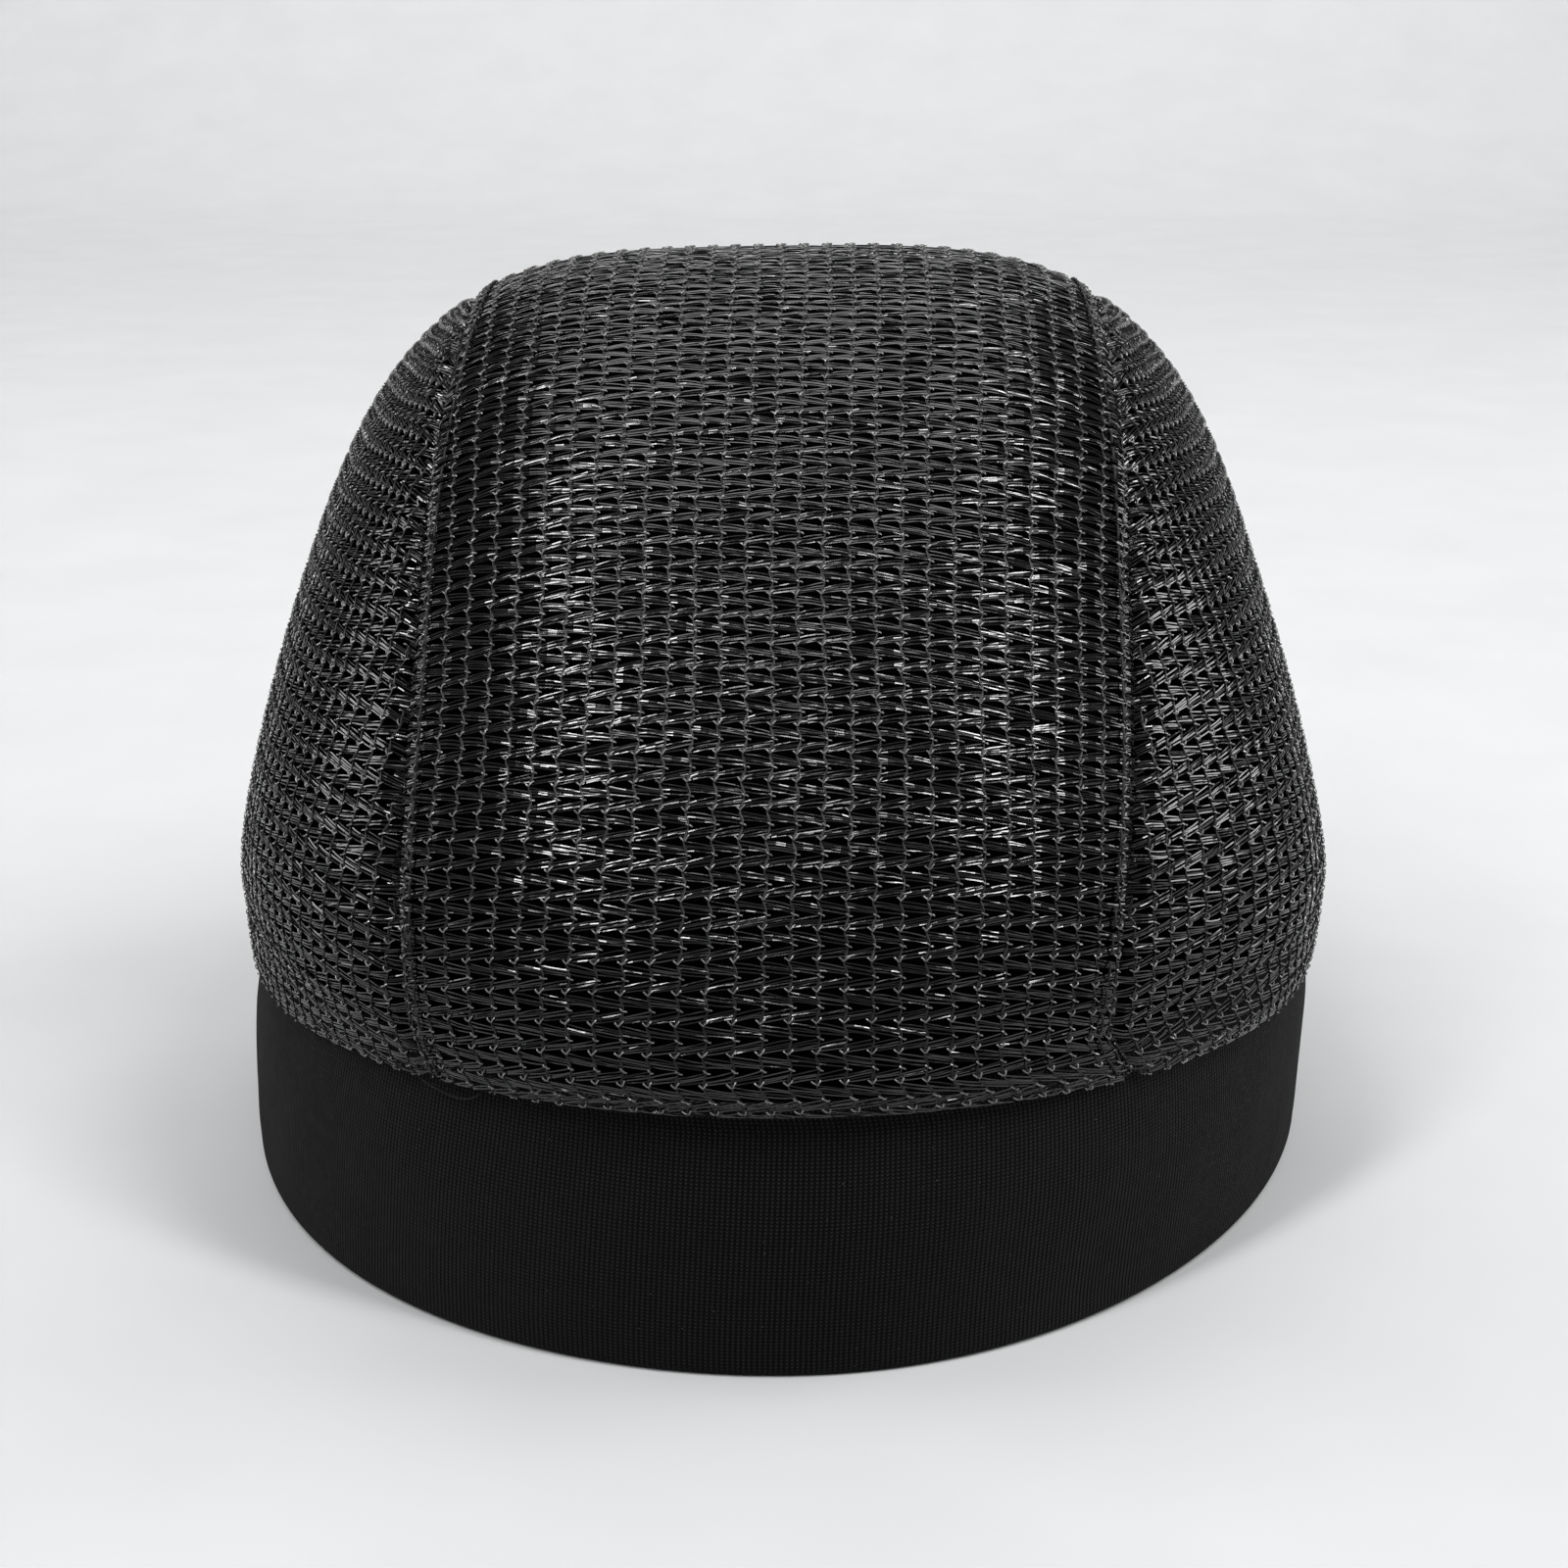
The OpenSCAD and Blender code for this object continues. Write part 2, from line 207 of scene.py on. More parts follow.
class Chart:
    """Table of a panel's surface on a regular grid of u and v."""

    def __init__(self, u, v, p, is_centre, valley):
        self.u, self.v, self.is_centre = u, v, is_centre
        self.valley_width, self.valley_depth, self.valley_power = valley
        self.spare = CENTRE_SPARE if is_centre else SIDE_SPARE
        du = np.gradient(p, axis=1)
        dv = np.gradient(p, axis=0)
        n = np.cross(du, dv)
        n /= np.maximum(np.linalg.norm(n, axis=-1, keepdims=True), 1e-9)
        outward = np.sign(((p - CENTRE) * n).sum(-1, keepdims=True))
        n *= np.where(outward == 0, 1, outward)
        ratio = seam_ratio(p)
        distance = seam_distance(p)
        az = np.arctan2(p[..., 1] - WIDEST_Y, p[..., 0])
        self.table = np.concatenate(
            [p, n, ratio[..., None], distance[..., None], (net_edge(az) - p[..., 2])[..., None]], -1)
        self.edges = self.find_edges()

    def find_edges(self):
        """The v of the net's lower edge at each u, at the low end and at the high end of v."""
        below = self.table[..., BELOW]
        half = len(self.v) // 2
        low = [np.interp(0, -below[:half, j], self.v[:half]) for j in range(len(self.u))]
        high = [np.interp(0, below[half:, j], self.v[half:]) for j in range(len(self.u))]
        return np.array(low), np.array(high)

    def sample(self, u, v):
        """Bilinear reading of the table."""
        a = np.clip((u - self.u[0]) / GRID_STEP, 0, len(self.u) - 1.001)
        b = np.clip((v - self.v[0]) / GRID_STEP, 0, len(self.v) - 1.001)
        i, j = b.astype(int), a.astype(int)
        a, b = (a - j)[..., None], (b - i)[..., None]
        t = self.table
        return ((t[i, j] * (1 - a) + t[i, j + 1] * a) * (1 - b)
                + (t[i + 1, j] * (1 - a) + t[i + 1, j + 1] * a) * b)

    def edges_at(self, u):
        """The v of the lower edge at the low and at the high end, for any u."""
        return [np.interp(u, self.u, edge) for edge in self.edges]

    def holds(self, table):
        """Whether sampled points lie on the panel's own side of the seams."""
        return (table[..., RATIO] < 1) == self.is_centre

    def hem(self, u, v):
        """Turns what is below the lower edge in and up again behind it: new v and depth."""
        half_turn = math.pi * HEM_RADIUS
        depth = np.zeros(np.shape(v))
        for edge, side in zip(self.edges_at(u), (1, -1)):
            over = (edge - v) * side
            turn = np.clip(over / HEM_RADIUS, 0, math.pi)
            rolled = edge - side * (HEM_RADIUS * np.sin(turn) - np.clip(over - half_turn, 0, None))
            v = np.where(over > 0, rolled, v)
            depth = np.where(over > 0, HEM_RADIUS * (1 - np.cos(turn)), depth)
        return v, depth

    def place(self, u, v, w, mirror=1):
        """Points in space and their normals, for u, v and a height w above the surface."""
        slope_past_seam = 0.6
        v, depth = self.hem(u, v)
        s = self.sample(u, v)
        inside = self.holds(s)
        near = np.clip(1 - s[..., DISTANCE] / self.valley_width, 0, 1)
        dip = self.valley_depth * np.where(inside, near ** self.valley_power, 1)
        dip = dip + slope_past_seam * np.where(inside, 0, s[..., DISTANCE])
        n = s[..., 3:6] / np.linalg.norm(s[..., 3:6], axis=-1, keepdims=True)
        flip = np.array([mirror, 1.0, 1.0])
        return lopside((s[..., :3] + (w - depth - dip)[..., None] * n) * flip), n * flip


def run_along(path):
    """Length along a path of points, from its start."""
    return np.concatenate([[0], np.cumsum(np.linalg.norm(np.diff(path, axis=0), axis=1))])


def across(rows):
    """Length along each row of points, from the row's middle."""
    at = np.stack([run_along(row) for row in rows])
    return at - at[:, [rows.shape[1] // 2]]


def resample_rows(at, rows, u):
    """Each row of points read at equal steps of its length."""
    return np.stack([np.stack([np.interp(u, at[i], rows[i, :, c]) for c in range(3)], -1)
                     for i in range(len(rows))])


def resample_columns(at, rows, v):
    """Each column of points read at equal steps of its label."""
    return np.stack([np.stack([np.interp(v, at[:, j], rows[:, j, c]) for c in range(3)], -1)
                     for j in range(rows.shape[1])], 1)


def centre_chart():
    """Wales lie at equal distances from the middle plane, and courses droop towards the seams."""
    droop, droop_height, droop_width = 4.2, 30.0, 50.0
    half_share, half_u, crown_rows = 0.87, 70, 520
    share = np.linspace(-half_share, half_share, 349)
    depth = np.linspace(9, 0.5, 18)
    crown = [crown_at(np.full(share.shape, t), share) for t in np.linspace(0, 2, crown_rows)]
    az_front, az_back = (np.arctan2(row[:, 1] - WIDEST_Y, row[:, 0]) for row in (crown[0], crown[-1]))
    rows = np.stack([skirt_at(az_front, d) for d in depth] + crown
                    + [skirt_at(az_back, d) for d in depth[::-1]])
    u = np.arange(-half_u, half_u + GRID_STEP / 2, GRID_STEP)
    rows = resample_rows(across(rows), rows, u)
    along = run_along(rows[:, len(u) // 2])
    along -= along[len(depth)]
    total = along[len(depth) + crown_rows - 1]
    lag = (u / droop_width) ** 2 * droop
    front = np.clip(1 - along / droop_height, 0, 1)[:, None] * lag
    back = np.clip(1 - (total - along) / droop_height, 0, 1)[:, None] * lag
    label = along[:, None] + front - back
    v = np.arange(along[0] + droop, along[-1] - droop, GRID_STEP)
    chart = Chart(u, v, resample_columns(label, rows, v), True, CENTRE_VALLEY)
    chart.total = total
    return chart


def seam_reach(at, rows):
    """Length along each row from the widest plane to the seam, to the front and to the back."""
    shortest = 8.0
    ratio = seam_ratio(rows)
    half = rows.shape[1] // 2
    reach = []
    for i in range(len(rows)):
        front = np.interp(1, ratio[i, :half + 1], -at[i, :half + 1])
        back = np.interp(1, ratio[i, :half - 1:-1], at[i, :half - 1:-1])
        reach.append((max(front, shortest), max(back, shortest)))
    return np.array(reach)


def side_chart():
    """Left side panel: wales rise from the rim and draw together as the panel narrows."""
    gather, half_angle, half_u, highest, lowest_v = 0.6, 78, 95, 127.0, -13
    az = np.radians(np.linspace(-half_angle, half_angle, 313))
    el = np.radians(np.linspace(0, half_angle, 260))
    d = np.stack([np.cos(el)[:, None] * np.cos(az), np.cos(el)[:, None] * np.sin(az),
                  np.sin(el)[:, None] + 0 * az], -1)
    crown = CENTRE + crown_ray(d)[..., None] * d
    middle = crown[:, len(az) // 2]
    depth = np.linspace(14, 0.5, 28)
    rows = [skirt_at(az, d) for d in depth]
    for z in np.linspace(LEVEL, highest, 350):
        rows.append(np.stack([np.array([np.interp(z, crown[:, j, 2], crown[:, j, c])
                                        for j in range(len(az))]) for c in (0, 1)]
                             + [np.full(len(az), z)], -1))
    rows = np.stack(rows)
    at = across(rows)
    reach = seam_reach(at, rows)
    at *= np.where(at < 0, (reach[0, 0] / reach[:, :1]) ** gather, (reach[0, 1] / reach[:, 1:]) ** gather)
    u = np.arange(-half_u, half_u + GRID_STEP / 2, GRID_STEP)
    rows = resample_rows(at, rows, u)
    label = np.interp(rows[:, len(u) // 2, 2], middle[:, 2], run_along(middle))
    label[:len(depth)] = -depth
    v = np.arange(lowest_v, label[-1], GRID_STEP)
    label = np.repeat(label[:, None], len(u), 1)
    return Chart(u, v, resample_columns(label, rows, v), False, SIDE_VALLEY)


# ---- the real cap is slightly lopsided ----

def smooth(x, low, high):
    """Smooth step from 0 at low to 1 at high."""
    s = np.clip((x - low) / (high - low), 0, 1)
    return s * s * (3 - 2 * s)


def lopside(p):
    """Small irregularities of the real cap, the same for every piece that they touch."""
    p = np.array(p, float)
    x, y, z = p[..., 0].copy(), p[..., 1].copy(), p[..., 2].copy()
    front = smooth(-y, -20, 70)
    left, right = smooth(x, 5, 60), smooth(-x, 5, 60)
    # The front of the band has slipped forward and toward the wearer's right
    low = front * (1 - smooth(z, 0, 42))
    p[..., 0] -= low * (1.1 + 0.85 * left + 1.05 * right)
    p[..., 1] -= low * (1.2 - 0.85 * left + 0.5 * right)
    p[..., 0] += 0.3 * smooth(z, 0, 25) * (1 - smooth(z, 35, 60))
    # The shoulders stand out unevenly, and the top is highest a little left of the middle
    p[..., 0] += smooth(z, 85, 118) * (1.4 * smooth(x, 10, 50) - 0.6 * smooth(-x, 10, 50))
    p[..., 2] += 0.9 * smooth(z, 90, 125) * np.exp(-((x - 15) / 40) ** 2)
    # The front of the centre panel is drawn toward the wearer's right, and is a little narrower
    middle = front * smooth(z, 33, 42) * (1 - smooth(np.abs(x), 55, 80))
    climb = smooth(z, 42, 88)
    p[..., 0] -= middle * (3.0 - 1.8 * climb + (0.02 + 0.025 * climb) * x)
    return p


# ---- meshes ----

def link(name, vertices, faces, smooth_faces=True, uv=None, kinds=None):
    """Mesh object from points in millimetres, and faces as an array of triangles or quads."""
    mesh = bpy.data.meshes.new(name)
    faces = np.asarray(faces, np.int32)
    mesh.vertices.add(len(vertices))
    mesh.vertices.foreach_set("co", (np.asarray(vertices) * MM).astype(np.float32).ravel())
    mesh.loops.add(faces.size)
    mesh.loops.foreach_set("vertex_index", faces.ravel())
    mesh.polygons.add(len(faces))
    mesh.polygons.foreach_set("loop_start", np.arange(0, faces.size, faces.shape[1], dtype=np.int32))
    mesh.polygons.foreach_set("loop_total", np.full(len(faces), faces.shape[1], np.int32))
    mesh.polygons.foreach_set("use_smooth", np.full(len(faces), smooth_faces))
    if kinds is not None:
        mesh.polygons.foreach_set("material_index", np.asarray(kinds, np.int32))
    if uv is not None:
        layer = mesh.uv_layers.new(name="weave")
        layer.data.foreach_set("uv", np.asarray(uv, np.float32)[faces.ravel()].ravel())
    mesh.update(calc_edges=True)
    mesh.validate()
    obj = bpy.data.objects.new(name, mesh)
    bpy.context.collection.objects.link(obj)
    return obj


def tubes(lines, normals, diameter, sides=4, flatness=1.0, roll=None):
    """Closed tubes of 4 or 6 sides along lines of equal point counts: vertices and quads.

    roll turns each point's ring of vertices about the line.
    """
    count, points = lines.shape[:2]
    tangent = np.gradient(lines, axis=1)
    tangent /= np.maximum(np.linalg.norm(tangent, axis=-1, keepdims=True), 1e-9)
    side = np.cross(tangent, normals)
    side /= np.maximum(np.linalg.norm(side, axis=-1, keepdims=True), 1e-9)
    up = np.cross(side, tangent)
    if roll is not None:
        c, s = np.cos(roll)[..., None], np.sin(roll)[..., None]
        side, up = c * side + s * up, c * up - s * side
    angle = 2 * np.pi * (np.arange(sides) + 0.5) / sides
    ring = np.cos(angle)[:, None] * side[:, :, None] + flatness * np.sin(angle)[:, None] * up[:, :, None]
    vertices = (lines[:, :, None] + diameter / 2 * ring).reshape(-1, 3)
    i = np.arange(points - 1)[:, None] * sides
    j = np.arange(sides)[None]
    k = (j + 1) % sides
    walls = np.stack([i + j, i + k, i + sides + k, i + sides + j], -1).reshape(-1, 4)
    last = (points - 1) * sides
    caps = [[3, 2, 1, 0], [last, last + 1, last + 2, last + 3]]
    if sides == 6:
        caps = [[3, 2, 1, 0], [5, 4, 3, 0], [last, last + 1, last + 2, last + 3],
                [last, last + 3, last + 4, last + 5]]
    one = np.concatenate([walls, caps])
    faces = (np.arange(count)[:, None, None] * points * sides + one).reshape(-1, 4)
    return vertices, faces


class Bundle:
    """Collects tubes that become one mesh. kind is the number of the material that a tube takes."""

    def __init__(self):
        self.vertices, self.faces, self.kinds, self.count = [], [], [], 0

    def add(self, part, kind=0):
        vertices, faces = part
        self.vertices.append(vertices)
        self.faces.append(faces + self.count)
        self.kinds.append(np.full(len(faces), kind))
        self.count += len(vertices)

    def link(self, name, smooth_faces=True):
        return link(name, np.concatenate(self.vertices), np.concatenate(self.faces), smooth_faces,
                    kinds=np.concatenate(self.kinds))


# ---- knitting ----

# Heights of one bundle's four strands at its left and right ends, as shares of a course.
# The bundles of every second course are the mirror image, so two meet at each node of a wale
FAN = np.array([[0.07, 0.44], [-0.10, 0.21], [-0.20, 0.09], [-0.37, -0.13]])
# The layers under a seam: their shift in wales, their rise in courses and their depth in mm
SEAM_LAYERS = ((0.45, 0.5, 0.32), (0.2, 0.25, 0.55))
# A wale swings this far left and right from node to node
SWING = 0.26
# The two arms of a knot, as middle and half length across and up in mm: at a left node and a right one
KNOT_ARMS = np.array([[[-0.25, 0.20, 0.27, -0.24], [0.36, 0.30, 0.28, 0.34]],
                      [[-0.15, 0.10, 0.20, -0.14], [0.28, -0.10, 0.20, -0.06]]])


def every(*ranges):
    """Each combination of the values of some ranges, as one flat array for each range."""
    return [a.ravel() for a in np.meshgrid(*ranges, indexing="ij")]


def strand_lines(chart, wales, courses, seed, shift=0.0):
    """The strands that cross from each wale to the next: lines in u, v, w."""
    rng = np.random.default_rng(seed)
    overlap, shortest, sunk = 0.1, 0.12, 0.05
    j, i, k = every(wales, courses, np.arange(len(FAN)))
    ends = np.where((i % 2 == 0)[:, None], FAN[k][:, ::-1], FAN[k])
    ends = (ends + rng.normal(0, 0.03, ends.shape)) * COURSE
    sag = rng.normal(0.02, 0.06, len(j))
    lift = rng.uniform(0.0, 0.16, len(j))
    start = (j + shift) * WALE - overlap
    stretch = WALE + 2 * overlap
    low, high = clip_to_seam(chart, start, stretch, i * COURSE)
    keep = high - low > shortest
    s = low[:, None] + (high - low)[:, None] * np.linspace(0, 1, 4)
    u = start[:, None] + stretch * s
    arch = np.sin(np.pi * s)
    v = i[:, None] * COURSE + ends[:, :1] * (1 - s) + ends[:, 1:] * s + sag[:, None] * arch
    return u[keep], v[keep], (lift[:, None] * arch - sunk)[keep]


def seam_layer(chart, wales, courses, width, seed):
    """The turned-in edge that lies under a panel beside its seam, as more layers of strands."""
    layers = []
    for shift, rise, depth in SEAM_LAYERS:
        u, v, w = strand_lines(chart, wales, courses, seed, shift)
        keep = chart.sample(u, v)[..., DISTANCE].max(1) < width
        layers.append((u[keep], v[keep] + COURSE * rise, w[keep] - depth))
    return [np.concatenate(parts) for parts in zip(*layers)]


def clip_to_seam(chart, start, stretch, v):
    """Shares of each strand's length between which it lies in the panel."""
    s = np.linspace(0, 1, 9)
    u = start[:, None] + stretch * s
    table = chart.sample(u, np.repeat(v[:, None], len(s), 1))
    inside = chart.holds(table) | (table[..., DISTANCE] < chart.spare)
    low = np.where(inside.any(1), s[np.argmax(inside, 1)], 1.0)
    high = np.where(inside.any(1), s[len(s) - 1 - np.argmax(inside[:, ::-1], 1)], 0.0)
    return low, high


def wale_lines(chart, wales, courses):
    """Two chain strands on every wale, crossing at each course, cut into one line per course."""
    apart, raised, weave = 0.1, 0.04, 0.07
    j, i, k = every(wales, courses, [1.0, -1.0])
    s = np.linspace(0, 1, 5)[None]
    swing = np.where(i % 2 == 0, SWING, -SWING)[:, None] * np.cos(np.pi * s)
    u = j[:, None] * WALE + swing + k[:, None] * apart * np.sin(np.pi * s)
    v = (i[:, None] + s - 0.5) * COURSE
    w = raised + k[:, None] * weave * np.cos(np.pi * s)
    return keep_inside(chart, u, v, w)


def knot_lines(chart, wales, courses, seed):
    """The short arms of the knot at each node of a wale."""
    raised, bow, over = 0.36, 0.18, 0.06
    rng = np.random.default_rng(seed)
    j, i, k = every(wales, courses, [0, 1])
    s = np.linspace(-1, 1, 4)
    arm = KNOT_ARMS[i % 2, k] + rng.normal(0, 0.03, (len(i), 4))
    swing = np.where(i % 2 == 0, -SWING, SWING)
    u = (j * WALE + swing + arm[:, 0])[:, None] + arm[:, 2:3] * s
    v = ((i + 0.5) * COURSE + arm[:, 1])[:, None] + arm[:, 3:] * s
    w = raised - bow * s ** 2 + over * k[:, None]
    return keep_inside(chart, u, v, w)


def keep_inside(chart, u, v, w):
    """Drops the lines that reach across a seam or lie hidden in its valley."""
    hidden = 0.7
    table = chart.sample(u, v)
    keep = (chart.holds(table) & (table[..., DISTANCE] > hidden)).all(1)
    return u[keep], v[keep], w[keep]


def keep_hem(chart, lines):
    """Drops the lines that lie above the end of the turned-in hem."""
    u, v, w = lines
    low, high = chart.edges_at(u)
    keep = ((v > low - HEM) & (v < high + HEM)).all(1)
    return u[keep], v[keep], w[keep]


def waver(u, v):
    """Slow wandering of the knit, as in cloth that has been stretched over a form."""
    return (u + 0.22 * np.sin(v / 17 + 0.4) * np.sin(u / 23 + 1) + 0.12 * np.sin(v / 6.5 + u / 9),
            v + 0.30 * np.sin(u / 19 + v / 31) + 0.12 * np.sin(u / 5.1 + v / 13))


def knit(chart, name, wales, courses, mirror=1, seed=1):
    """One piece of net, with the chain on each of its wales."""
    rng = np.random.default_rng(seed)
    bundle = Bundle()
    seam_width = 3.6 if chart.is_centre else 2.2
    # Diameter and flatness of the strands, the chain and the knots
    kinds = ((STRAND, 0.5), (CHAIN, 1.0), (KNOT, 0.7))
    for lines, kind in ((strand_lines(chart, wales, courses, seed), 0),
                        (seam_layer(chart, wales, courses, seam_width, seed + 7), 0),
                        (wale_lines(chart, wales, courses), 1),
                        (knot_lines(chart, wales, courses, seed + 1), 2)):
        u, v, w = keep_hem(chart, lines)
        if len(u):
            u, v = waver(u, v)
            roll = rng.normal(0, ROLL, (len(u), 1)) + rng.normal(0, TWIST, u.shape)
            size, flatness = kinds[kind]
            bundle.add(tubes(*chart.place(u, v, w, mirror), size, 4, flatness, roll), kind)
    piece = bundle.link(name, smooth_faces=False)
    for material in (strand, chain, knot):
        piece.data.materials.append(material)
    width, length, area = cut_size(chart, wales, courses)
    return piece


def cut_size(chart, wales, courses):
    """Flat width, length and area in metres of the cloth between some wales and courses."""
    wale_share, course_share, near_edge = 0.25, 0.5, 0.5
    step_u, step_v = WALE * wale_share, COURSE * course_share
    u, v = np.meshgrid(np.arange(wales[0], wales[-1] + 1, wale_share) * WALE,
                       np.arange(courses[0], courses[-1] + 1, course_share) * COURSE)
    table = chart.sample(u, v)
    p = table[..., :3]
    cell = np.linalg.norm(np.cross(np.gradient(p, axis=0), np.gradient(p, axis=1)), axis=-1)
    low, high = chart.edges_at(u)
    below = np.maximum(low - v, v - high)
    inside = (chart.holds(table) | (table[..., DISTANCE] < CENTRE_SPARE)) & (below < HEM)
    cell = np.where(below > -near_edge, step_u * step_v, cell)
    width = inside.any(0).sum() * step_u * MM
    length = inside.any(1).sum() * step_v * MM
    return width, length, min((inside * cell).sum() * MM * MM, width * length)


# ---- linings, tapes and band ----

def shell(name, outer, inner, uv):
    """Closed thin solid between two equal grids of points."""
    rows, cols = outer.shape[:2]
    index = np.arange(rows * cols).reshape(rows, cols)
    quads = np.stack([index[:-1, :-1], index[:-1, 1:], index[1:, 1:], index[1:, :-1]], -1).reshape(-1, 4)
    border = np.concatenate([index[:, 0], index[-1, 1:], index[-2::-1, -1], index[0, -2:0:-1]])
    after = np.roll(border, -1)
    size = rows * cols
    rim = np.stack([border, after, after + size, border + size], -1)
    faces = np.concatenate([quads, quads[:, ::-1] + size, rim])
    return link(name, np.concatenate([outer.reshape(-1, 3), inner.reshape(-1, 3)]), faces,
                uv=np.concatenate([uv.reshape(-1, 2)] * 2))


def inward(p, depth):
    """Points moved towards the crown's centre."""
    d = p - CENTRE
    return p - depth[..., None] * d / np.linalg.norm(d, axis=-1, keepdims=True)


def lining_dip(distance):
    """The lining follows the net down into the valley at a seam."""
    depth, width = 1.2, 6
    return depth * np.clip(1 - distance / width, 0, 1) ** 2


def lining(name, p, dip, uv, flip=(1, 1, 1)):
    """Lining under a grid of points on the crown."""
    outer, inner = (lopside(inward(p, LINING_INSET + thick + dip) * flip) for thick in (0, LINING_THICK))
    piece = shell(name, outer, inner, uv)
    return piece


def centre_lining():
    half_width, half_length = 50, 150
    t = np.linspace(0, 2, 150)[:, None]
    side = np.linspace(-1, 1, 61)[None]
    p = crown_at(t + 0 * side, side * seam_share(t))
    dip = lining_dip(half_width * (1 - np.abs(side)) + 0 * t)
    uv = np.stack([half_width * side + 0 * t, half_length * t + 0 * side], -1)
    return lining("centre_lining_cloth", p, dip, uv)


def side_lining(name, mirror):
    """Lining that runs from the widest level up to the seam at each azimuth."""
    radius = 90
    t = np.linspace(0.03, 1.97, 100)
    seam = crown_at(t, seam_share(t)) - CENTRE
    az = np.arctan2(seam[:, 1], seam[:, 0])
    el = np.arcsin(seam[:, 2] / np.linalg.norm(seam, axis=1))
    up = np.linspace(0, 1, 50)[:, None]
    d = np.stack([np.cos(el * up) * np.cos(az), np.cos(el * up) * np.sin(az), np.sin(el * up)], -1)
    p = CENTRE + crown_ray(d)[..., None] * d
    dip = lining_dip((1 - up) * el * radius)
    uv = np.stack([az * radius + 0 * up, el * up * radius], -1)
    return lining(name, p, dip, uv, (mirror, 1, 1))


def seam_tape(name, mirror):
    """Knitted tape with thin edges and a few soft ribs, under one crown seam."""
    thinning, rib_height, ribs, bulk, half_length = 0.125, 0.06, 9, 0.2, 150
    t = np.linspace(0.09, 1.91, 160)[:, None]
    across_tape = np.linspace(-1, 1, 13)[None]
    offset = across_tape * TAPE_WIDTH / 2
    p = crown_at(t + 0 * offset, seam_share(t) + offset / HALF)
    sunk = thinning * np.abs(across_tape) ** 6 + rib_height * np.cos(across_tape * ribs) + 0 * t
    uv = np.stack([offset + 0 * t, half_length * t + 0 * offset], -1)
    outer, inner = (lopside(inward(p, TAPE_INSET + depth) * (mirror, 1, 1))
                    for depth in (sunk, TAPE_THICK + bulk + 0 * sunk))
    return shell(name, outer, inner, uv)


def band_azimuths():
    """Steps round the band, closer together at the seam in the back, which is at 90 degrees."""
    near = 2.5
    coarse = np.linspace(90 + near, 450 - near, 420)
    fine = np.linspace(90 - near, 90 + near, 26)[1:-1]
    return np.radians(np.concatenate([fine, coarse]))


def band_sweep(name, section, shape=None):
    """Closed ring: a closed section of offset and height, carried round the band's plan."""
    uv_radius = 90
    section = np.asarray(section, float)
    az = band_azimuths()
    offset = np.repeat(section[None, :, 0], len(az), 0)
    height = np.repeat(section[None, :, 1], len(az), 0)
    if shape is not None:
        offset = offset + shape(az[:, None], offset, height)
    x, y = plan(az[:, None] + 0 * offset, offset)
    points = lopside(np.stack([x, y, height], -1))
    rows, cols = offset.shape
    index = np.arange(rows * cols).reshape(rows, cols)
    right, down = np.roll(index, -1, 1), np.roll(index, -1, 0)
    faces = np.stack([index, down, np.roll(down, -1, 1), right], -1).reshape(-1, 4)
    uv = np.stack([az[:, None] * uv_radius + 0 * offset, np.repeat(run_along(section)[None], rows, 0)], -1)
    return link(name, points.reshape(-1, 3), faces, uv=uv.reshape(-1, 2))


def arc(centre_offset, centre_height, radius, start, end, steps=8):
    """Round stretch of the band's section, with its start and end in degrees."""
    angle = np.radians(np.linspace(start, end, steps + 1))
    return [(centre_offset + radius * math.cos(a), centre_height + radius * math.sin(a)) for a in angle]


def wall(offset, start, end, steps):
    """One face of the band's section, which leans in towards its top."""
    return [(offset - float(lean(z)), z) for z in np.linspace(start, end, steps)]


def headband_fabric():
    """One strip of jersey, folded round the lower edge over the foam."""
    top, low = BAND_HEIGHT, FOLD_RADIUS + 0.3
    low_inside = low + 0.8
    inner_face = -BAND_THICK
    section = (wall(0, top, low, 30) + arc(-FOLD_RADIUS, FOLD_RADIUS, FOLD_RADIUS, 0, -90)
               + arc(inner_face + FOLD_RADIUS, FOLD_RADIUS, FOLD_RADIUS, -90, -180)
               + wall(inner_face, low, top, 30)
               + wall(inner_face + FABRIC_THICK, top, low_inside, 14)
               + [(inner_face + FOLD_RADIUS, FABRIC_THICK), (-FOLD_RADIUS, FABRIC_THICK)]
               + wall(-FABRIC_THICK, low_inside, top, 14))

    def shape(az, offset, height):
        """Soft waves in the cloth, a padded middle and a groove at the back seam."""
        groove_depth, groove_width, pad_depth, pad_height = 0.55, 0.55, 0.35, 34
        outside = smooth(offset, -2.6, -0.4)
        free = smooth(height, 0.5, 6) * (1 - smooth(height, 33, 38))
        waves = (0.16 * np.sin(5 * az + 1) * np.sin(height / 9 + az) + 0.10 * np.sin(13 * az + height / 7)
                 + 0.06 * np.sin(29 * az - height / 5))
        groove = groove_depth * np.exp(-((az - math.pi / 2) * BAND_BACK / groove_width) ** 2)
        pad = pad_depth * np.sin(np.clip(height / pad_height, 0, 1) * math.pi)
        return outside * free * (waves + pad - groove)

    piece = band_sweep("headband_fabric_strip", section, shape)
    return piece


def headband_foam():
    """Strip of foam between the two layers of fabric, clear of the fold and of the top."""
    depth = FABRIC_THICK + 0.12
    outer, inner = -depth, -BAND_THICK + depth
    low, high = FOLD_RADIUS + 1.6, BAND_HEIGHT - 1.5
    piece = band_sweep("headband_foam_strip", wall(outer, high, low, 16) + wall(inner, low, high, 16))
    return piece


